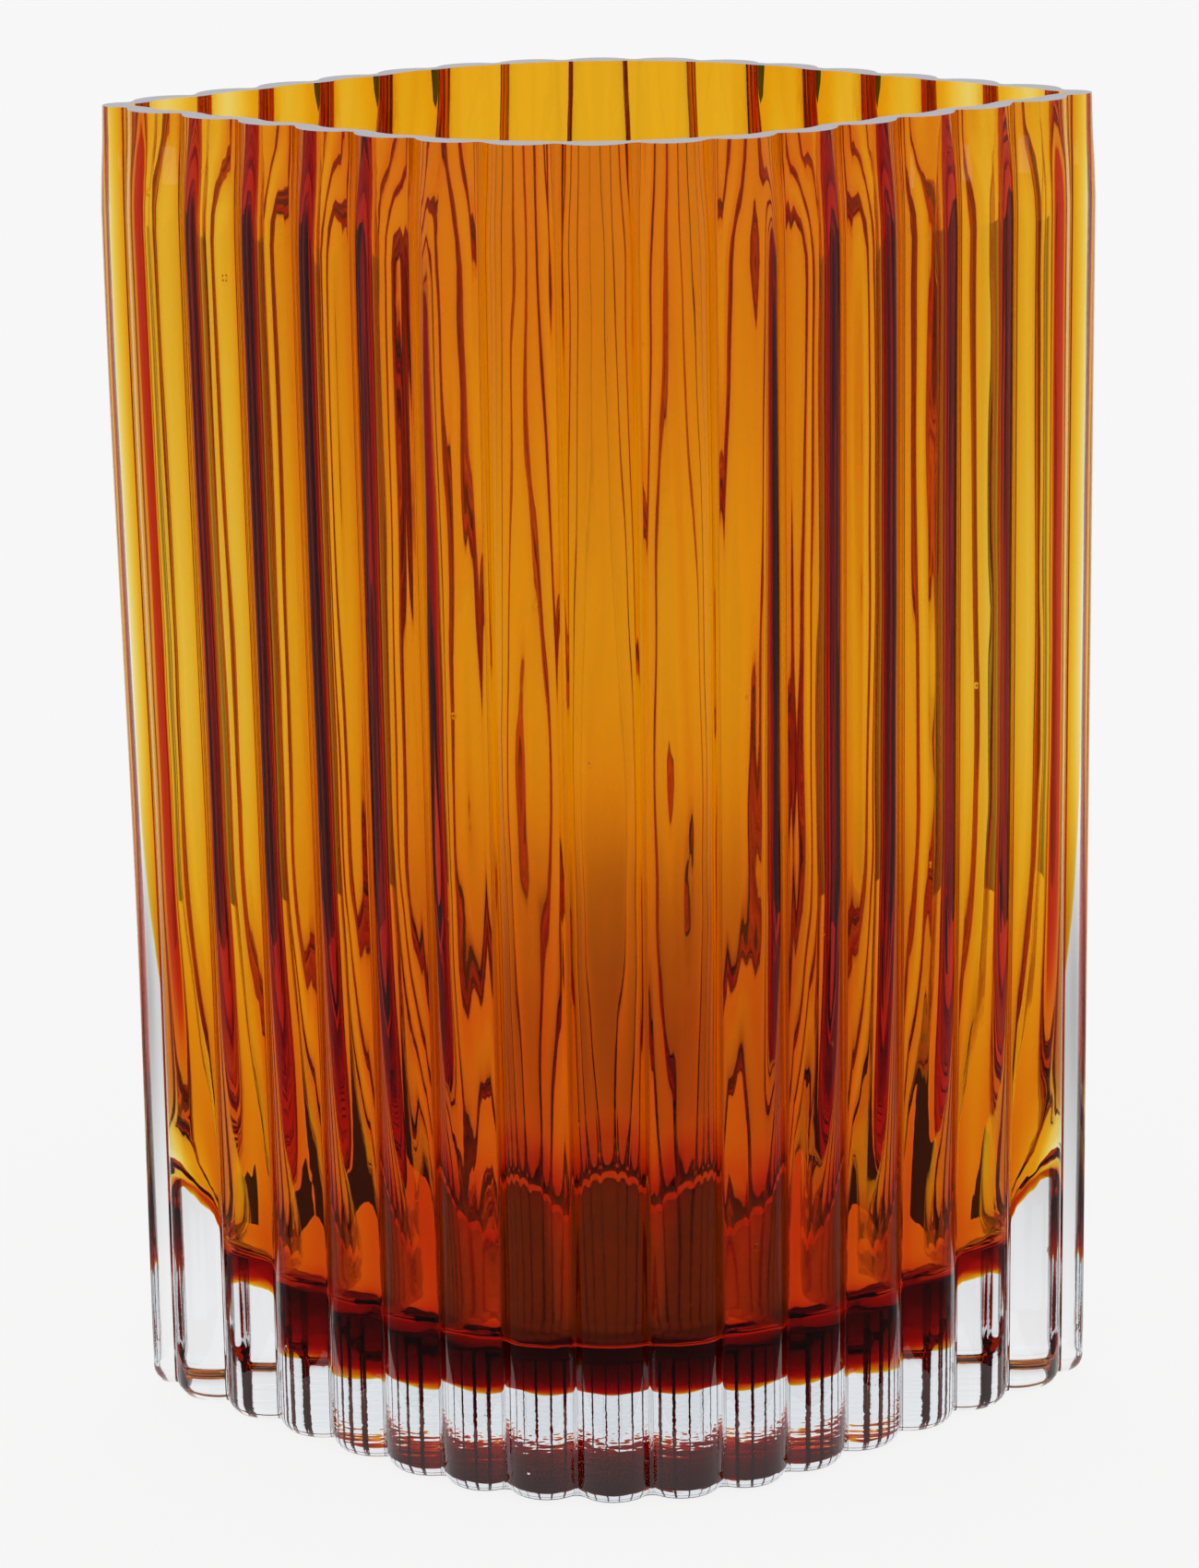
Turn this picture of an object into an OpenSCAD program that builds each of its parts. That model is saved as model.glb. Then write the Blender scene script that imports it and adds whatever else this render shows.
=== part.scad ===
// Leaf-shaped cased glass vase: an amber inner bubble inside a ribbed casing of clear glass.
// Units are millimetres. +Z is up, X runs from tip to tip, and the origin is the centre of the flat foot.

/* [Body] */
// Length from tip to tip, over the ribs
vase_length = 184; // [176:1:192]
// Depth from front to back, over the ribs
vase_depth = 136; // [130:1:142]
// Height of the vase
vase_height = 250; // [200:1:320]
// Radius of the broad round front and back
front_radius = 53.5; // [50:0.5:56]

/* [Ribs] */
// How far a rib's crest stands out from the line through its two valleys
rib_rise = 3.8; // [2.5:0.1:4.5]
// Distance between valleys round the broad front and back
front_rib_pitch = 13.85; // [13.5:0.05:14.2]
// Distance along the flank from its corner at the tip to the tip rib's valley
tip_rib_setback = 7; // [6.5:0.1:7.5]
// Width of the bevel round the foot, below the ribs
foot_bevel = 2.5; // [1:0.1:3]

/* [Layers] */
// Thickness of the whole wall at a valley
wall = 3.5; // [3.2:0.1:5]
// Thickness of the amber layer in the wall
amber_wall = 2.5; // [1.5:0.1:2.7]
// Height of the amber's underside at the middle of the foot
amber_foot = 12; // [9:0.5:14]
// Height of the floor inside the vase
cavity_floor = 23.5; // [21:0.5:30]

/* [Bubble shape] */
// Height where the lower ends of the bubble start to round in
bubble_shoulder = 75; // [70:1:90]
// Half the length of the bubble at that height
bubble_half_length = 86; // [84:0.5:87]
// Half the length of the flat part of the bubble's underside
bubble_flat_half = 52; // [45:1:56]
// Height above which the bubble fills the tips
bubble_full_height = 110; // [100:1:130]
// Radius between the floor and the front and back walls, inside
floor_round = 11; // [8:1:14]
// Height where the front and back of the amber start to round in
amber_shoulder = 26; // [22:1:28]
// Half the depth of the flat part of the amber's underside
amber_flat_half = 10; // [5:1:30]

/* [Hidden] */

FRONT_RIBS = 2;      // ribs on each side of the middle rib at the front pitch
FLANK_RIBS = 5;      // ribs on each flank
PAST = 1;            // how far a cutting shape runs past the surface that it cuts
INNER_TIP_ROUND = 1.8;
CORNER_STEPS = 14;   // steps of a bubble's lower corner
FRONT_STEPS = 9;     // steps of half the broad front
TIP_STEPS = 4;       // steps of half a tip
RIB_ROUND = 48;

// The valley line: round front and back, straight flanks that meet at the tips.
tip_x = vase_length / 2;
middle_rib_angle = asin(front_rib_pitch / 2 / front_radius);
front_centre_y = vase_depth / 2 - rib_rise - front_radius * cos(middle_rib_angle);
flank_angle = atan2(front_centre_y, tip_x) + asin(front_radius / norm([tip_x, front_centre_y]));
arc_length = front_radius * flank_angle * PI / 180;
arc_end = [front_radius * sin(flank_angle), front_centre_y + front_radius * cos(flank_angle)];
flank_length = norm([tip_x, 0] - arc_end);
first_flank_valley = (FRONT_RIBS + 0.5) * front_rib_pitch;
last_flank_valley = arc_length + flank_length - tip_rib_setback;
flank_rib_pitch = (last_flank_valley - first_flank_valley) / FLANK_RIBS;

// A point of the valley line, at a distance along it from the middle of the back.
function line_point(along) = along < arc_length
    ? front_centre_y * [0, 1] + front_radius * turn(along / front_radius * 180 / PI)
    : arc_end + (along - arc_length) * [cos(flank_angle), -sin(flank_angle)];
function turn(angle) = [sin(angle), cos(angle)];

// The valleys of one quarter, from the middle of the back to the tip.
quarter_along = [
    for (i = [0 : FRONT_RIBS]) (i + 0.5) * front_rib_pitch,
    for (i = [1 : FLANK_RIBS]) first_flank_valley + i * flank_rib_pitch
];
quarter = [for (along = quarter_along) line_point(along)];
last = len(quarter) - 1;

// All valleys, clockwise from the first one right of the middle of the back.
valleys = [
    for (i = [0 : last]) quarter[i],
    for (i = [last : -1 : 0]) [quarter[i].x, -quarter[i].y],
    for (i = [0 : last]) -quarter[i],
    for (i = [last : -1 : 0]) [-quarter[i].x, quarter[i].y]
];
tip_rise = tip_x - quarter[last].x;
core_inset = foot_bevel;

// A rib is a circle through two valleys that stands out by its rise.
function rib_radius(half_chord, rise) = (half_chord ^ 2 + rise ^ 2) / (2 * rise);
function is_tip(i) = i == last || i == 3 * last + 2;

// Points of an elliptical arc, by angles clockwise from straight up.
function arc(centre, size, from, to, steps) = [
    for (i = [0 : steps])
        let (angle = from + (to - from) * i / steps)
        centre + [size.x * sin(angle), size.y * cos(angle)]
];

// A closed outline from its right half, given from the top down.
function mirrored(right) = concat(right, [
    for (i = [len(right) - 1 : -1 : 0]) [-right[i].x, right[i].y]
]);

// The right half of a bubble seen level: straight above its shoulder, elliptical below it.
function bubble_half(top, half_width, flat_half, shoulder, bottom) = concat(
    top,
    arc([flat_half, shoulder], [half_width - flat_half, shoulder - bottom], 90, 180, CORNER_STEPS)
);

// The plan without ribs, set in from the valley line, with round tips.
function smooth_quarter(inset, tip_round) =
    let (radius = front_radius - inset,
         tip_centre_x = tip_x - (inset + tip_round) / sin(flank_angle))
    concat(
        arc([0, front_centre_y], [radius, radius], 0, flank_angle, FRONT_STEPS),
        arc([tip_centre_x, 0], [tip_round, tip_round], flank_angle, 90, TIP_STEPS)
    );
function smooth_outline(inset, tip_round) =
    let (back = smooth_quarter(inset, tip_round), count = len(back))
    mirrored(concat(
        [for (i = [1 : count - 1]) back[i]],
        [for (i = [count - 2 : -1 : 1]) [back[i].x, -back[i].y]]
    ));

module rib(i, z_top) {
    a = valleys[i];
    b = valleys[(i + 1) % len(valleys)];
    half_chord = norm(b - a) / 2;
    rise = is_tip(i) ? tip_rise : rib_rise;
    radius = rib_radius(half_chord, rise);
    outward = [-(b - a).y, (b - a).x] / norm(b - a);
    centre = (a + b) / 2 + (rise - radius) * outward;
    translate([centre.x, centre.y, 0])
        rotate_extrude($fn = RIB_ROUND)
            polygon([[0, 0], [radius - foot_bevel, 0], [radius, foot_bevel],
                     [radius, z_top], [0, z_top]]);
}

// The side view of a bubble, extruded through the whole depth.
module side_profile(end_inset, bottom) {
    full_tips = [[tip_x, vase_height + PAST], [tip_x, bubble_full_height]];
    half_length = bubble_half_length - end_inset;
    rotate([90, 0, 0])
        linear_extrude(height = vase_depth, center = true)
            polygon(mirrored(bubble_half(full_tips, half_length, bubble_flat_half,
                                         bubble_shoulder, bottom)));
}

// The end view of a bubble, extruded through the whole length.
module end_profile(half_depth, flat_half, shoulder, bottom) {
    top = [[half_depth, vase_height + PAST]];
    rotate([90, 0, 90])
        linear_extrude(height = vase_length, center = true)
            polygon(mirrored(bubble_half(top, half_depth, flat_half, shoulder, bottom)));
}

// The surface where the amber meets the clear glass, carried on above the rim.
module amber_outside() {
    inset = wall - amber_wall;
    half_depth = front_centre_y + front_radius - inset;
    intersection() {
        linear_extrude(height = vase_height + PAST)
            polygon(smooth_outline(inset, INNER_TIP_ROUND + amber_wall));
        side_profile(0, amber_foot);
        end_profile(half_depth, amber_flat_half, amber_shoulder, amber_foot);
    }
}

// The hollow of the vase.
module cavity() {
    half_depth = front_centre_y + front_radius - wall;
    intersection() {
        linear_extrude(height = vase_height + PAST)
            polygon(smooth_outline(wall, INNER_TIP_ROUND));
        side_profile(amber_wall, cavity_floor);
        end_profile(half_depth, half_depth - floor_round, cavity_floor + floor_round, cavity_floor);
    }
}

// The ribbed block of glass before it is hollowed: a smooth core behind overlapping ribs.
module ribbed_body() {
    for (i = [0 : len(valleys) - 1])
        rib(i, vase_height);
    linear_extrude(height = vase_height)
        polygon(smooth_outline(core_inset, INNER_TIP_ROUND));
}

// Clear casing: thick foot, solid lower tips and the ribs.
module clear_casing() {
    color([0.88, 0.89, 0.91, 0.5])
        difference() {
            ribbed_body();
            amber_outside();
        }
}

// Amber layer: the blown bubble that lines the casing and forms the floor.
module amber_layer() {
    color([0.85, 0.45, 0.08, 0.9])
        intersection() {
            difference() {
                amber_outside();
                cavity();
            }
            translate([-vase_length / 2, -vase_depth / 2, 0])
                cube([vase_length, vase_depth, vase_height]);
        }
}

clear_casing();
amber_layer();
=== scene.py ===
import math

import bpy
import numpy as np
from mathutils import Matrix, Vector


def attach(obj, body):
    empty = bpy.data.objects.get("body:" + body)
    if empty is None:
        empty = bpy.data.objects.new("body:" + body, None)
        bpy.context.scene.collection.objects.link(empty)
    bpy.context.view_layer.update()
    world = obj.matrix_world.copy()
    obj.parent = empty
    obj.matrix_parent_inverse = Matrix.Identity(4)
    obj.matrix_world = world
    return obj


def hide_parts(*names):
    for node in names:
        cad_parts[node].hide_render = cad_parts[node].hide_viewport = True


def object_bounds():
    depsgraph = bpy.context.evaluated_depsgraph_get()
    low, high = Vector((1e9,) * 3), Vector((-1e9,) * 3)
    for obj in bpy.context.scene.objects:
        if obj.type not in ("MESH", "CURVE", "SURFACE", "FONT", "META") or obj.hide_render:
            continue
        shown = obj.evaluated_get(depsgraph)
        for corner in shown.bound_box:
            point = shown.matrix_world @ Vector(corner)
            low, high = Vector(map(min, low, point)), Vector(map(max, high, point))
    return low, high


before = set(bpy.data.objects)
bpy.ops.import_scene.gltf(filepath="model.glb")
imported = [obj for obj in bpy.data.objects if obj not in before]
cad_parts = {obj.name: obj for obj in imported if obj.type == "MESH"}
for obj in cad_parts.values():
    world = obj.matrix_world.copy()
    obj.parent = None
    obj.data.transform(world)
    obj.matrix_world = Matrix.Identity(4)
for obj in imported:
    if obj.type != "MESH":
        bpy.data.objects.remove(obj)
cad_low, cad_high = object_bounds()

MM = 0.001
FULL_TURN = 2 * math.pi
HALF_LENGTH = cad_high.x
HALF_DEPTH = cad_high.y
HEIGHT = cad_high.z

# The plan, as in the design: 32 ribs on a leaf with round front and back and straight flanks.
FRONT_RADIUS = 53.5 * MM
RIB_RISE = 3.8 * MM
FRONT_PITCH = 13.85 * MM
TIP_SETBACK = 7 * MM
FRONT_RIBS = 2
FLANK_RIBS = 5
RIBS = 32                 # all the way round
INNER_TIP_ROUND = 1.8 * MM
CREST_STEPS = 18          # steps across a rib between its valley fillets
FILLET_STEPS = 4
VALLEY_FILLET = 0.65 * MM

# The layers of the wall, measured in from the valleys.
WALL = 3.5 * MM
AMBER_WALL = 2.6 * MM
BOND_GAP = 0.02 * MM
RIM_STEPS = 3

# Glass.
GLASS_IOR = 1.5
AMBER_DENSITY = 1668.0
AMBER_COLOUR = (0.9665, 0.8076, 0.0, 1.0)


# ---------------------------------------------------------------- plan

def valley_line():
    """Numbers of one quarter of the valley line, from the middle of the back to the tip."""
    half_angle = math.asin(FRONT_PITCH / 2 / FRONT_RADIUS)
    centre_y = HALF_DEPTH - RIB_RISE - FRONT_RADIUS * math.cos(half_angle)
    reach = math.hypot(HALF_LENGTH, centre_y)
    flank = math.atan2(centre_y, HALF_LENGTH) + math.asin(FRONT_RADIUS / reach)
    arc = FRONT_RADIUS * flank
    end_x = FRONT_RADIUS * math.sin(flank)
    end_y = centre_y + FRONT_RADIUS * math.cos(flank)
    total = arc + math.hypot(HALF_LENGTH - end_x, end_y)
    return centre_y, flank, arc, total


CENTRE_Y, FLANK, ARC, TOTAL = valley_line()


def smooth_points(along, inset, tip_round):
    """Points and outward normals of the smooth plan at distances along the valley line, in one quarter."""
    along = np.asarray(along, float)
    radius = FRONT_RADIUS - inset
    tip_centre = HALF_LENGTH - (inset + tip_round) / math.sin(FLANK)
    tip_start = TOTAL - (inset + tip_round) / math.tan(FLANK)
    arc_end = min(ARC, tip_start)
    on_arc = along <= arc_end
    in_tip = along >= tip_start
    angle = np.full(len(along), FLANK)
    angle[on_arc] = along[on_arc] / FRONT_RADIUS
    turn = (along[in_tip] - tip_start) / (TOTAL - tip_start)
    start_angle = tip_start / FRONT_RADIUS if tip_start < ARC else FLANK
    angle[in_tip] = start_angle + (math.pi / 2 - start_angle) * turn
    normal = np.stack([np.sin(angle), np.cos(angle)], 1)
    points = np.stack([radius * normal[:, 0], CENTRE_Y + radius * normal[:, 1]], 1)
    on_flank = ~on_arc & ~in_tip
    run = along[on_flank] - ARC
    points[on_flank, 0] = radius * math.sin(FLANK) + run * math.cos(FLANK)
    points[on_flank, 1] = CENTRE_Y + radius * math.cos(FLANK) - run * math.sin(FLANK)
    points[in_tip, 0] = tip_centre + tip_round * normal[in_tip, 0]
    points[in_tip, 1] = tip_round * normal[in_tip, 1]
    return points, normal


def rib_circles():
    """Circles of one quarter's ribs, with a rib more at each end, and where their valleys are."""
    first = (FRONT_RIBS + 0.5) * FRONT_PITCH
    pitch = (TOTAL - TIP_SETBACK - first) / FLANK_RIBS
    valleys = [(i + 0.5) * FRONT_PITCH for i in range(FRONT_RIBS + 1)]
    valleys += [first + (i + 1) * pitch for i in range(FLANK_RIBS)]
    corners, _ = smooth_points(valleys, 0.0, 1e-6)
    mirror_x, mirror_y = np.array([-1, 1]), np.array([1, -1])
    before = [corners[1] * mirror_x, corners[0] * mirror_x]
    after = [corners[-1] * mirror_y, corners[-2] * mirror_y]
    ends = [*before, *corners, *after]
    spots = [-valleys[1], -valleys[0], *valleys, 2 * TOTAL - valleys[-1], 2 * TOTAL - valleys[-2]]
    circles = []
    for i in range(len(ends) - 1):
        a, b = ends[i], ends[i + 1]
        half = np.linalg.norm(b - a) / 2
        tangent = (b - a) / (2 * half)
        out = np.array([-tangent[1], tangent[0]])
        rise = HALF_LENGTH - a[0] if i == len(ends) - 3 else RIB_RISE
        radius = (half * half + rise * rise) / (2 * rise)
        swing = math.asin(min(1.0, half / radius))
        if rise > radius:
            swing = math.pi - swing
        circles.append(((a + b) / 2 + (rise - radius) * out, radius, swing, tangent, out))
    return circles, spots


def quarter_ribs():
    """Columns of one quarter of the ribbed plan: place along it, share of the rib, rib, point, normal."""
    circles, spots = rib_circles()
    reach = []
    for (c, r, *_), (d, q, *_) in zip(circles, circles[1:]):
        gap = np.linalg.norm(d - c)
        across = (gap * gap + (r + VALLEY_FILLET) ** 2 - (q + VALLEY_FILLET) ** 2) / (2 * gap)
        height = math.sqrt((r + VALLEY_FILLET) ** 2 - across * across)
        step = (d - c) / gap
        reach.append(c + across * step + height * np.array([-step[1], step[0]]))
    columns = []
    for i in range(1, len(circles) - 1):
        centre, radius, swing, tangent, out = circles[i]
        angles = []
        for fillet in (reach[i - 1], reach[i]):
            lean = fillet - centre
            angles.append(math.atan2(lean @ tangent, lean @ out))
        low, high = angles
        for k in range(CREST_STEPS + 1):
            angle = low + (high - low) * k / CREST_STEPS
            normal = math.sin(angle) * tangent + math.cos(angle) * out
            columns.append((i, (angle / swing + 1) / 2, centre + radius * normal, normal))
        if i == len(circles) - 2:
            continue
        fillet = reach[i]
        start = columns[-1][3]
        other, _, other_swing, other_tangent, other_out = circles[i + 1]
        lean = (fillet - other) / np.linalg.norm(fillet - other)
        entry = math.atan2(lean @ other_tangent, lean @ other_out)
        from_angle = math.atan2(start[0], start[1])
        to_angle = math.atan2(lean[0], lean[1])
        share_from = columns[-1][1]
        share_to = 1 + (entry / other_swing + 1) / 2
        for k in range(1, FILLET_STEPS):
            part = k / FILLET_STEPS
            angle = from_angle + (to_angle - from_angle) * part
            normal = np.array([math.sin(angle), math.cos(angle)])
            share = share_from + (share_to - share_from) * part
            columns.append((i, share, fillet - VALLEY_FILLET * normal, normal))
    along, rib_share, ribs, points, normals = [], [], [], [], []
    middle_x = 1e-7
    for i, share, point, normal in columns:
        rib, part = (i, share) if share <= 1 else (i + 1, share - 1)
        spot = spots[rib] + (spots[rib + 1] - spots[rib]) * part
        if point[0] < -middle_x or spot > TOTAL + middle_x:
            continue
        along.append(spot)
        rib_share.append(part)
        ribs.append(rib - 1)
        points.append(point)
        normals.append(normal)
    return np.array(along), np.array(rib_share), np.array(ribs), np.array(points), np.array(normals)


ALONG, RIB_SHARE, RIB, RIBBED, RIB_NORMAL = quarter_ribs()


def full_turn(quarter, flips):
    """Mirrors one quarter's rows into the whole outline, clockwise from the middle of the back."""
    back_right = quarter
    front_right = quarter[-2::-1] * flips[0]
    front_left = quarter[1:] * flips[1]
    back_left = quarter[-2:0:-1] * flips[2]
    return np.concatenate([back_right, front_right, front_left, back_left])


MIRRORS = (np.array([1, -1]), np.array([-1, -1]), np.array([-1, 1]))
SAME = (1, 1, 1)
TURN_ALONG = full_turn(ALONG, SAME)
TURN_SHARE = np.concatenate([RIB_SHARE, 1 - RIB_SHARE[-2::-1], RIB_SHARE[1:], 1 - RIB_SHARE[-2:0:-1]])
HALF = RIBS // 2
TURN_RIB = np.concatenate([RIB, HALF - RIB[-2::-1], HALF + RIB[1:], RIBS - RIB[-2:0:-1]]) % RIBS
CHANCE = np.random.RandomState(5).uniform(-1, 1, (4, RIBS))[:, TURN_RIB]  # four chance numbers for each rib
TURN_RIBBED = full_turn(RIBBED, MIRRORS)
TURN_LENGTH = full_turn(ALONG, (-1, 1, -1))
TURN_NORMAL = full_turn(RIB_NORMAL, MIRRORS)
TURN_SMOOTH = full_turn(smooth_points(ALONG, WALL, INNER_TIP_ROUND)[1], MIRRORS)


def smooth_turn(inset, tip_round):
    points, _ = smooth_points(ALONG, inset, tip_round)
    return full_turn(points, MIRRORS)


# ---------------------------------------------------------------- mesh

def ease(x):
    x = np.clip(x, 0, 1)
    return x * x * (3 - 2 * x)


def ring(plan, height):
    """A ring of vertices from a plan outline and a height, or a height for each vertex."""
    height = np.broadcast_to(height, len(plan))
    drawn = 1 - LEFT_DRAW * ease((225 * MM - height) / (150 * MM)) * (plan[:, 0] < 0)
    return np.column_stack([plan[:, 0] * drawn, plan[:, 1], height])


class Shell:
    """A closed mesh made of stacked rings, with a bond mark and a material for each face."""

    def __init__(self):
        self.rings = []
        self.bonds = []
        self.slots = []

    def add(self, points, bond=0.0, slot=0):
        """Adds a ring. bond and slot are those of the band between it and the ring before."""
        self.rings.append(points)
        self.bonds.append(bond)
        self.slots.append(slot)

    def build(self, name, sharp_rings):
        count = len(self.rings[0])
        first_pole = self.rings[0].mean(0)
        last_pole = self.rings[-1].mean(0)
        verts = np.concatenate([*self.rings, [first_pole], [last_pole]])
        start_pole, end_pole = len(verts) - 2, len(verts) - 1
        here = range(count)
        there = [(i + 1) % count for i in here]
        faces, bonds, slots = [], [], []
        for a, b in zip(here, there):
            faces.append((start_pole, a, b))
            bonds.append(self.bonds[0])
            slots.append(self.slots[0])
        for k in range(1, len(self.rings)):
            low, high = (k - 1) * count, k * count
            for a, b in zip(here, there):
                faces.append((low + a, high + a, high + b, low + b))
                bonds.append(self.bonds[k])
                slots.append(self.slots[k])
        last = (len(self.rings) - 1) * count
        for a, b in zip(here, there):
            faces.append((end_pole, last + b, last + a))
            bonds.append(self.bonds[-1])
            slots.append(self.slots[-1])
        mesh = bpy.data.meshes.new(name)
        mesh.from_pydata([tuple(v) for v in verts], [], faces)
        mesh.update()
        mesh.attributes.new("bond", "FLOAT", "FACE").data.foreach_set("value", np.array(bonds, np.float32))
        mesh.polygons.foreach_set("material_index", np.array(slots, np.int32))
        mesh.polygons.foreach_set("use_smooth", np.ones(len(faces), bool))
        piece = bpy.data.objects.new(name, mesh)
        bpy.context.scene.collection.objects.link(piece)
        mark_sharp(mesh, count, sharp_rings)
        return piece


def mark_sharp(mesh, count, sharp_rings):
    """Marks the edges that lie along the given rings."""
    ends = np.empty(2 * len(mesh.edges), np.int32)
    mesh.edges.foreach_get("vertices", ends)
    ring_a, ring_b = ends[0::2] // count, ends[1::2] // count
    sharp = np.zeros(len(ring_a), bool)
    for k in sharp_rings:
        sharp |= (ring_a == k) & (ring_b == k)
    mark = mesh.attributes.new("sharp_edge", "BOOLEAN", "EDGE")
    mark.data.foreach_set("value", sharp)


# ---------------------------------------------------------------- layers

FOOT_ROUND = 3.0 * MM
RIM_DRAW = 0.9 * MM       # how much the top of the outside draws in
RIM_DRAW_HEIGHT = 20 * MM
AMBER_FOOT = 10.5 * MM
AMBER_ARCH = 1.5 * MM     # how far its underside rises in the middle of its length
AMBER_BOWL = 9 * MM       # and towards the front and back
AMBER_EDGE = 5 * MM       # radius of its lower edge
CAVITY_FLOOR = 23.5 * MM
CAVITY_EDGE = 11 * MM
HOLLOW_FRONT = 1.8 * MM   # how far the inside follows a rib outwards, at the broad front and back
HOLLOW_FLANK = 3.4 * MM   # and on the flanks
WANDER = 0.25 * MM        # how far that depth wanders up a rib and from rib to rib
LEAST_CLEAR = 0.3 * MM    # the least clear glass outside the amber
CORD = 0.07 * MM          # height of the faint streaks inside
LOW_WALL = 1.4 * MM       # how much thicker the amber is low down at the front and back
LEFT_DRAW = 0.017         # how far the left end leans in towards the foot, as a share of its length
RIPPLE = 2.0 * MM         # how far the amber's underside follows the ribs
VALLEY_AMBER = 1.4 * MM   # how much thicker the amber is behind a valley of the flanks
TIP_FILL = 0.9 * MM       # how much thicker the amber is in the tips
AMBER_TIP = (0.8 * MM, 12 * MM, 45 * MM, 20 * MM, 12 * MM)   # what tip_round takes after the height
CAVITY_TIP = (0.7 * MM, 5 * MM, 36 * MM, 26 * MM, 10 * MM)


def tip_round(height, top, belly, spread, start, reach):
    """The bubble's tips get rounder towards the foot, where the glass cooled before it filled the mould."""
    fuller = belly * math.exp(-(height / (80 * MM)) ** 3)
    blunter = spread * math.exp(-max(0.0, height - start) / reach)
    return top + fuller + blunter


def before_tip(start, reach):
    """Goes from 0 to 1 over a reach that starts at a distance before the tip."""
    return ease((TURN_ALONG - TOTAL + start) / reach)


def hollow(height):
    """How far the inside is blown out into each rib: less at the ground rim, nothing near the foot."""
    below_rim = HEIGHT - height
    shifted = TURN_SHARE + 0.04 * CHANCE[1] * np.sin(FULL_TURN * TURN_SHARE)
    crest = 0.5 - 0.5 * np.cos(FULL_TURN * shifted)
    flank = ease((TURN_ALONG - 18 * MM) / (24 * MM))
    crest = crest + 0.7 * flank * (ease(crest) - crest)
    front_depth = HOLLOW_FRONT * (1 + 0.3 * CHANCE[0]) * ease((below_rim + 10 * MM * CHANCE[3]) / (130 * MM))
    front_depth = front_depth * ease((height - 28 * MM + 10 * MM * CHANCE[2]) / (120 * MM))
    slow = np.sin(FULL_TURN * (height / (190 * MM) + CHANCE[2]))
    flank_depth = HOLLOW_FLANK + WANDER * (0.5 * CHANCE[0] + slow)
    near_rim = 0.35 + 0.65 * ease(below_rim / (22 * MM))
    flank_depth = flank_depth * near_rim * ease((height - 34 * MM) / (85 * MM))
    off_tip = 1 - before_tip(14 * MM, 8 * MM)
    return (front_depth + (flank_depth - front_depth) * flank) * crest * off_tip


def cords(height):
    """Faint streaks of the blown inside that run up the wall and drift a little sideways."""
    drift = 0.4 * math.sin(FULL_TURN * height / (210 * MM))
    drift += 0.25 * math.sin(FULL_TURN * height / (83 * MM) + 1)
    wide = np.sin(FULL_TURN * (TURN_LENGTH / (17 * MM) + drift))
    fine = np.sin(FULL_TURN * (TURN_LENGTH / (6.3 * MM) - 1.3 * drift) + 2 * wide)
    return CORD * (0.7 * wide + 0.3 * fine) * ease((HEIGHT - height) / (20 * MM))


def amber_thinning(height):
    """How much thinner the amber is than at the front of the rim: at half height and on the flanks."""
    belly = 0.28 * math.exp(-((height - 150 * MM) / (50 * MM)) ** 2)
    flank = 0.25 * ease((TURN_ALONG - 35 * MM) / (30 * MM)) + 0.35 * ease((TURN_ALONG - 72 * MM) / (15 * MM))
    flank = flank * (0.75 + 0.25 * ease((height - 50 * MM) / (90 * MM)))
    valley = 0.5 + 0.5 * np.cos(FULL_TURN * TURN_SHARE)
    tip_fill = TIP_FILL * before_tip(10 * MM, 8 * MM) * ease((height - 62 * MM) / (28 * MM))
    above_foot = ease((height - 25 * MM) / (25 * MM))
    thinner = AMBER_WALL * (1 - (1 - belly) * (1 - flank))
    on_flank = ease((TURN_ALONG - 30 * MM) / (10 * MM)) * (1 - before_tip(14 * MM, 8 * MM))
    thinner = np.maximum(thinner - VALLEY_AMBER * valley * on_flank, AMBER_WALL - WALL + LEAST_CLEAR)
    return thinner * above_foot - tip_fill


def outer_plan(inset):
    return TURN_RIBBED - inset * TURN_NORMAL


def outside_rings():
    """Rings of the outside from the middle of the foot up to the rim: (plan, height) pairs."""
    rings = []
    for share in (0.25, 0.6, 0.9, 1.0):
        rings.append((share * outer_plan(FOOT_ROUND), 0.0))
    for k in range(1, 7):
        angle = math.pi / 2 * k / 6
        inset = FOOT_ROUND * (1 - math.sin(angle))
        rings.append((outer_plan(inset), FOOT_ROUND * (1 - math.cos(angle))))
    for height in np.linspace(FOOT_ROUND, HEIGHT, 40)[1:]:
        draw = RIM_DRAW * ease((height - HEIGHT + RIM_DRAW_HEIGHT) / RIM_DRAW_HEIGHT)
        rings.append((outer_plan(draw), height))
    return rings


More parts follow.
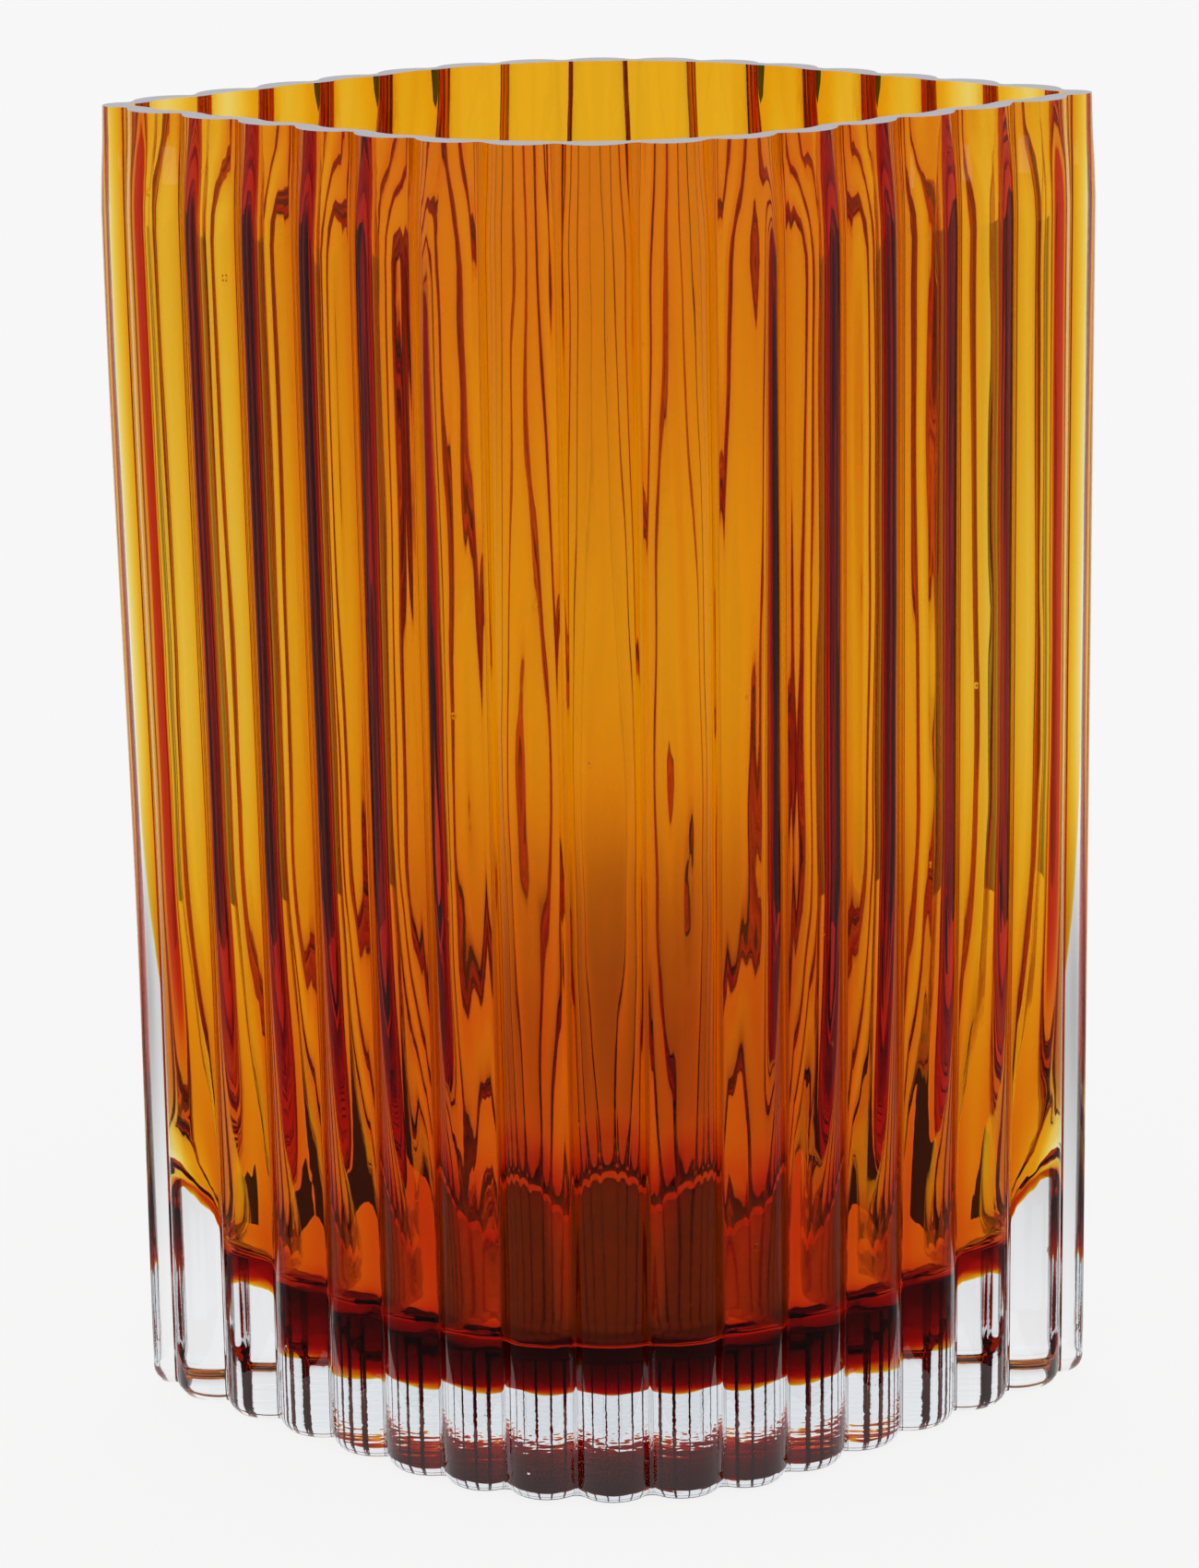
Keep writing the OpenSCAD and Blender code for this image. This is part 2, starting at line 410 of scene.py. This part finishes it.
def bubble_rings(inset, floor, edge, tip, arch=0.0, bowl=0.0, grow=0.0, thinning=False, low_wall=0.0):
    """Rings of a bubble's surface from the rim down to the middle of its floor.

    arch and bowl bend the floor along and across, and grow makes the whole bubble larger."""
    rings = []
    for height in np.linspace(HEIGHT, floor + edge, 50):
        rings.append((inset - grow, height, 1.0))
    for k in range(1, 11):
        angle = math.pi / 2 * k / 10
        rings.append((inset - grow + edge * (1 - math.cos(angle)), floor + edge * (1 - math.sin(angle)), 1.0))
    for share in (0.93, 0.8, 0.6, 0.4, 0.2):
        rings.append((inset - grow + edge, floor, share))
    made = []
    for ring_inset, height, share in rings:
        thicker = low_wall * ease((130 * MM - height) / (80 * MM))
        plan = smooth_turn(ring_inset, tip_round(height, *tip))
        thicker = thicker * (1 - 0.8 * ease((TURN_ALONG - 32 * MM) / (30 * MM)))
        bulge = hollow(height) + cords(height)
        bulge = bulge - (amber_thinning(height) if thinning else thicker)
        plan = share * (plan + bulge[:, None] * TURN_SMOOTH)
        along_x = plan[:, 0] / (0.8 * HALF_LENGTH)
        along_y = plan[:, 1] / (0.88 * HALF_DEPTH)
        lift = arch * (1 - along_x ** 2) + bowl * along_y ** 2
        ribbed = 0.5 * np.cos(FULL_TURN * TURN_SHARE) * (bowl > 0)
        lift = (lift + RIPPLE * share ** 4 * ribbed) * ease((60 * MM - height) / (45 * MM))
        made.append((plan, height + lift - grow * (height < floor + edge)))
    return made


def bond_rings(grow):
    """Rings of the surface where the two layers meet."""
    inset = WALL - AMBER_WALL
    return bubble_rings(inset, AMBER_FOOT, AMBER_EDGE, AMBER_TIP, AMBER_ARCH, AMBER_BOWL, grow, thinning=True)


def clear_casing():
    shell = Shell()
    outside = outside_rings()
    for plan, height in outside:
        shell.add(ring(plan, height))
    top = len(outside) - 1
    inside = bond_rings(BOND_GAP)
    for k in range(1, RIM_STEPS + 1):
        share = k / RIM_STEPS
        shell.add(ring(outside[-1][0] * (1 - share) + inside[0][0] * share, HEIGHT), slot=1)
    for plan, height in inside[1:]:
        shell.add(ring(plan, height), bond=1.0)
    return shell.build("clear_casing_glass", (top, top + RIM_STEPS))


def amber_layer():
    shell = Shell()
    outside = bond_rings(0.0)[::-1]
    for plan, height in outside:
        shell.add(ring(plan, height), bond=1.0)
    top = len(outside) - 1
    inside = bubble_rings(WALL, CAVITY_FLOOR, CAVITY_EDGE, CAVITY_TIP, low_wall=LOW_WALL)
    for k in range(1, RIM_STEPS + 1):
        share = k / RIM_STEPS
        shell.add(ring(outside[-1][0] * (1 - share) + inside[0][0] * share, HEIGHT), slot=1)
    for plan, height in inside[1:]:
        shell.add(ring(plan, height))
    return shell.build("amber_layer_glass", (top, top + RIM_STEPS))


# ---------------------------------------------------------------- materials

def new_material(name):
    material = bpy.data.materials.new(name)
    material.use_nodes = True
    nodes = material.node_tree.nodes
    return material, nodes, material.node_tree.links, nodes["Principled BSDF"]


def scaled_place(nodes, links, scale):
    """Coordinates of the piece, scaled."""
    place = nodes.new("ShaderNodeTexCoord")
    mapping = nodes.new("ShaderNodeMapping")
    mapping.inputs["Scale"].default_value = scale
    links.new(place.outputs["Object"], mapping.inputs["Vector"])
    return mapping.outputs["Vector"]


def add_cords_and_seeds(nodes, links, shader):
    """Fine drawn streaks up the wall and a few tiny seeds."""
    streaks = nodes.new("ShaderNodeTexNoise")
    streaks.inputs["Scale"].default_value = 1.0
    streaks.inputs["Detail"].default_value = 1.0
    links.new(scaled_place(nodes, links, (320, 320, 16)), streaks.inputs["Vector"])
    cells = nodes.new("ShaderNodeTexVoronoi")
    cells.inputs["Scale"].default_value = 1.0
    links.new(scaled_place(nodes, links, (70, 70, 45)), cells.inputs["Vector"])
    seeds = nodes.new("ShaderNodeMapRange")
    seeds.inputs["From Min"].default_value = 0.02
    seeds.inputs["From Max"].default_value = 0.035
    seeds.inputs["To Min"].default_value = 1.5
    seeds.inputs["To Max"].default_value = 0.0
    links.new(cells.outputs["Distance"], seeds.inputs["Value"])
    relief = nodes.new("ShaderNodeMath")
    relief.operation = "ADD"
    links.new(streaks.outputs["Fac"], relief.inputs[0])
    links.new(seeds.outputs["Result"], relief.inputs[1])
    bump = nodes.new("ShaderNodeBump")
    bump.inputs["Strength"].default_value = 1.0
    bump.inputs["Distance"].default_value = 0.06 * MM
    links.new(relief.outputs["Value"], bump.inputs["Height"])
    links.new(bump.outputs["Normal"], shader.inputs["Normal"])


def glass(name, absorb_colour, density):
    material, nodes, links, shader = new_material(name)
    shader.inputs["Base Color"].default_value = (1, 1, 1, 1)
    shader.inputs["Roughness"].default_value = 0.0
    shader.inputs["Transmission Weight"].default_value = 1.0
    add_cords_and_seeds(nodes, links, shader)
    bond = nodes.new("ShaderNodeAttribute")
    bond.attribute_name = "bond"
    index = nodes.new("ShaderNodeMapRange")
    index.inputs["To Min"].default_value = GLASS_IOR
    index.inputs["To Max"].default_value = 1.0
    links.new(bond.outputs["Fac"], index.inputs["Value"])
    links.new(index.outputs["Result"], shader.inputs["IOR"])
    absorb = nodes.new("ShaderNodeVolumeAbsorption")
    absorb.inputs["Color"].default_value = absorb_colour
    absorb.inputs["Density"].default_value = density
    links.new(absorb.outputs["Volume"], nodes["Material Output"].inputs["Volume"])
    return material


def ground_rim():
    material, nodes, links, shader = new_material("ground_rim")
    shader.inputs["Base Color"].default_value = (0.5, 0.5, 0.56, 1)
    grain = nodes.new("ShaderNodeTexNoise")
    grain.inputs["Scale"].default_value = 1.0
    grain.inputs["Detail"].default_value = 2.0
    links.new(scaled_place(nodes, links, (2600, 2600, 2600)), grain.inputs["Vector"])
    satin = nodes.new("ShaderNodeMapRange")
    satin.inputs["To Min"].default_value = 0.25
    satin.inputs["To Max"].default_value = 0.55
    links.new(grain.outputs["Fac"], satin.inputs["Value"])
    links.new(satin.outputs["Result"], shader.inputs["Roughness"])
    bump = nodes.new("ShaderNodeBump")
    bump.inputs["Strength"].default_value = 0.5
    bump.inputs["Distance"].default_value = 0.03 * MM
    links.new(grain.outputs["Fac"], bump.inputs["Height"])
    links.new(bump.outputs["Normal"], shader.inputs["Normal"])
    return material


# ---------------------------------------------------------------- stage

SHADOW_DARK = 26 * MM    # half the length of the darkest part under the foot
SHADOW_END = 50 * MM
SHADE_MIDDLE = (0.02, 0.23)
SHADE_NARROW = 1.5       # the soft shadow is this much longer than wide
SHADE_FAR = 0.24
SHADE_LEAST = 0.48       # light left in the middle of the soft shadow
FLOOR_GLOW = 0.86
FADE_NEAR = 0.34         # how far from the middle of the vase the graded sheets of painted shade start, in metres
FRONT_NEAR = 0.165       # and the dark sheet of painted shade in front of them
PAINTED_SHADE_FAR = {True: 2.4, False: 8.0}      # how far the sheets of painted shade reach, by whether they darken the light through the glass or the reflections on it
SIDE_END = 115            # degrees from straight behind where the side's dark sheet of painted shade ends
FADE_START = 65          # degrees from straight behind
FADE_END = 97
FADE_STEPS = 8


def make_floor():
    """A light table: pale, evenly lit from below, with a little light of the room on it."""
    mesh = bpy.data.meshes.new("floor")
    size = 40.0
    drop = -0.0002
    corners = [(-size, -size, drop), (size, -size, drop), (size, size, drop), (-size, size, drop)]
    mesh.from_pydata(corners, [], [(0, 1, 2, 3)])
    floor = bpy.data.objects.new("floor", mesh)
    bpy.context.scene.collection.objects.link(floor)
    material, nodes, links, shader = new_material("pale_floor")
    shader.inputs["Base Color"].default_value = (0.1, 0.1, 0.1, 1)
    shader.inputs["Roughness"].default_value = 0.9
    shader.inputs["Specular IOR Level"].default_value = 0.0
    shader.inputs["Emission Color"].default_value = (1, 1, 1, 1)
    shader.inputs["Emission Strength"].default_value = FLOOR_GLOW
    mesh.materials.append(material)


def soft_shadow():
    """The soft shadow of the vase on the table behind it. Only the glass sees it."""
    middle_x, middle_y = SHADE_MIDDLE
    half_x, half_y = (SHADE_FAR + 0.02) / SHADE_NARROW, SHADE_FAR + 0.02
    drop = -0.00015
    signs = ((-1, -1), (1, -1), (1, 1), (-1, 1))
    verts = [(middle_x + i * half_x, middle_y + j * half_y, drop) for i, j in signs]
    mesh = bpy.data.meshes.new("soft_shadow")
    mesh.from_pydata(verts, [], [(0, 1, 2, 3)])
    shadow = bpy.data.objects.new("soft_shadow", mesh)
    bpy.context.scene.collection.objects.link(shadow)
    material, nodes, links, shader = new_material("soft_shadow")
    shader.inputs["Base Color"].default_value = (0.1, 0.1, 0.1, 1)
    shader.inputs["Roughness"].default_value = 0.9
    shader.inputs["Specular IOR Level"].default_value = 0.0
    shader.inputs["Emission Color"].default_value = (1, 1, 1, 1)
    away = nodes.new("ShaderNodeVectorMath")
    away.operation = "DISTANCE"
    away.inputs[1].default_value = (middle_x * SHADE_NARROW, middle_y, drop)
    links.new(scaled_place(nodes, links, (SHADE_NARROW, 1, 1)), away.inputs[0])
    light = nodes.new("ShaderNodeMapRange")
    light.interpolation_type = "SMOOTHSTEP"
    light.inputs["From Min"].default_value = 0.0
    light.inputs["From Max"].default_value = SHADE_FAR
    light.inputs["To Min"].default_value = SHADE_LEAST * FLOOR_GLOW
    light.inputs["To Max"].default_value = FLOOR_GLOW
    links.new(away.outputs["Value"], light.inputs["Value"])
    links.new(light.outputs["Result"], shader.inputs["Emission Strength"])
    mesh.materials.append(material)
    shadow.visible_camera = False
    shadow.visible_diffuse = False
    shadow.visible_glossy = False
    shadow.visible_shadow = False


def foot_shadow():
    """The dark, slightly warm patch under the middle of the foot, where little light of the table gets in:
    painted shade, with a painted warm glow of light through the amber that grows towards the ends.
    """
    plan = outer_plan(FOOT_ROUND)
    verts = [(x, y, -0.0001) for x, y in plan]
    count = len(verts)
    faces = [(i, (i + 1) % count, count) for i in range(count)]
    mesh = bpy.data.meshes.new("foot_shadow")
    mesh.from_pydata([*verts, (0, 0, -0.0001)], [], faces)
    shadow = bpy.data.objects.new("foot_shadow", mesh)
    bpy.context.scene.collection.objects.link(shadow)
    material, nodes, links, shader = new_material("foot_shadow")
    shader.inputs["Base Color"].default_value = (0.12, 0.05, 0.03, 1)
    shader.inputs["Roughness"].default_value = 0.9
    shader.inputs["Specular IOR Level"].default_value = 0.0
    # painted light: the warm glow stands in for light that came down through the amber
    shader.inputs["Emission Color"].default_value = (1, 0.66, 0.5, 1)
    place = nodes.new("ShaderNodeTexCoord")
    split = nodes.new("ShaderNodeSeparateXYZ")
    from_middle = nodes.new("ShaderNodeMath")
    from_middle.operation = "ABSOLUTE"
    light = nodes.new("ShaderNodeMapRange")
    light.inputs["From Min"].default_value = SHADOW_DARK
    light.inputs["From Max"].default_value = SHADOW_END
    light.inputs["To Min"].default_value = 0.0
    light.inputs["To Max"].default_value = 0.6
    links.new(place.outputs["Object"], split.inputs["Vector"])
    links.new(split.outputs["X"], from_middle.inputs[0])
    links.new(from_middle.outputs["Value"], light.inputs["Value"])
    links.new(light.outputs["Result"], shader.inputs["Emission Strength"])
    mesh.materials.append(material)


def painted_shade_sector(start, end, shade, through, near=0.1, far=None):
    """Painted shade: a dark sheet on the table, in a sector round the vase, that draws the dark edges and
    stripes of the glass. Only the glass sees it.

    through picks what it darkens: the light that comes through the glass, or the reflections on it, which
    become painted dark reflections."""
    steps = 6
    far = far or PAINTED_SHADE_FAR[through]
    verts = []
    for k in range(steps + 1):
        turn = math.radians(start + (end - start) * k / steps)
        verts.append((near * math.sin(turn), near * math.cos(turn), 0.0002))
        verts.append((far * math.sin(turn), far * math.cos(turn), 0.0002))
    faces = [(2 * k, 2 * k + 1, 2 * k + 3, 2 * k + 2) for k in range(steps)]
    mesh = bpy.data.meshes.new("painted_shade_sheet")
    mesh.from_pydata(verts, [], faces)
    painted_shade_sheet = bpy.data.objects.new("painted_shade_sheet", mesh)
    bpy.context.scene.collection.objects.link(painted_shade_sheet)
    material, nodes, links, shader = new_material("painted_shade_sheet")
    # painted shade: how dark this sheet looks to the glass
    shader.inputs["Base Color"].default_value = (shade, shade, shade, 1)
    mesh.materials.append(material)
    painted_shade_sheet.visible_camera = False
    painted_shade_sheet.visible_diffuse = False
    painted_shade_sheet.visible_shadow = False
    painted_shade_sheet.visible_transmission = through
    painted_shade_sheet.visible_glossy = not through


def lay_painted_shade():
    """Graded and dark sheets of painted shade on both sides, mirrored, and dark ones towards the camera."""
    for side in (-1, 1):
        for k in range(FADE_STEPS):
            start = FADE_START + (FADE_END - FADE_START) * k / FADE_STEPS
            end = FADE_START + (FADE_END - FADE_START) * (k + 1) / FADE_STEPS
            shade = 0.85 * (1 - (k + 0.5) / FADE_STEPS) ** 1.3
            painted_shade_sector(side * start, side * end, shade, through=True, near=FADE_NEAR)
        painted_shade_sector(side * FADE_END, side * SIDE_END, 0.06, through=True, near=FRONT_NEAR, far=FADE_NEAR)
        painted_shade_sector(side * FADE_END, side * SIDE_END, 0.02, through=True, near=FADE_NEAR)
        painted_shade_sector(side * 155, side * 180, 0.01, through=True)
        painted_shade_sector(side * 50, side * FADE_END, 0.15, through=False)
        painted_shade_sector(side * FADE_END, side * 180, 0.01, through=False)


def make_world():
    world = bpy.data.worlds.new("studio")
    world.use_nodes = True
    nodes, links = world.node_tree.nodes, world.node_tree.links
    background = nodes["Background"]
    where = nodes.new("ShaderNodeTexCoord")
    split = nodes.new("ShaderNodeSeparateXYZ")
    ramp = nodes.new("ShaderNodeValToRGB")
    links.new(where.outputs["Generated"], split.inputs["Vector"])
    links.new(split.outputs["Z"], ramp.inputs["Fac"])
    ramp.color_ramp.elements[0].position = 0.3
    ramp.color_ramp.elements[0].color = (0.91, 0.91, 0.91, 1)
    ramp.color_ramp.elements[1].position = 0.9
    ramp.color_ramp.elements[1].color = (0.6, 0.6, 0.6, 1)
    links.new(ramp.outputs["Color"], background.inputs["Color"])
    background.inputs["Strength"].default_value = 1.0
    bpy.context.scene.world = world


def make_camera():
    """The camera, where the outlines of rim and foot put it."""
    data = bpy.data.cameras.new("camera")
    camera = bpy.data.objects.new("camera", data)
    bpy.context.scene.collection.objects.link(camera)
    data.sensor_width = 36
    data.lens = 115.05
    data.clip_start = 0.05
    camera.location = (0.0049, -0.9241, 0.3608)
    camera.rotation_mode = "QUATERNION"
    turn = Matrix.Rotation(math.radians(0.382), 3, "Z")
    pitch = Matrix.Rotation(math.radians(90 - 14.627), 3, "X")
    roll = Matrix.Rotation(math.radians(-0.806), 3, "Z")
    camera.rotation_quaternion = (turn @ pitch @ roll).to_quaternion()
    bpy.context.scene.camera = camera


make_camera()
make_world()
make_floor()
soft_shadow()
foot_shadow()
lay_painted_shade()

casing = clear_casing()
amber = amber_layer()
casing.data.materials.append(glass("clear_glass", (0.88, 0.91, 0.94, 1), 14.0))
casing.data.materials.append(ground_rim())
amber.data.materials.append(glass("amber_glass", AMBER_COLOUR, AMBER_DENSITY))
amber.data.materials.append(bpy.data.materials["ground_rim"])
replaced = ((casing, "clear_casing", "clear_glass"), (amber, "amber_layer", "amber_glass"))
for piece, node, slot in replaced:
    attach(piece, "root")
    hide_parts(node)

scene = bpy.context.scene
scene.view_settings.view_transform = "Standard"
scene.cycles.max_bounces = 32
scene.cycles.transmission_bounces = 32
scene.cycles.glossy_bounces = 16
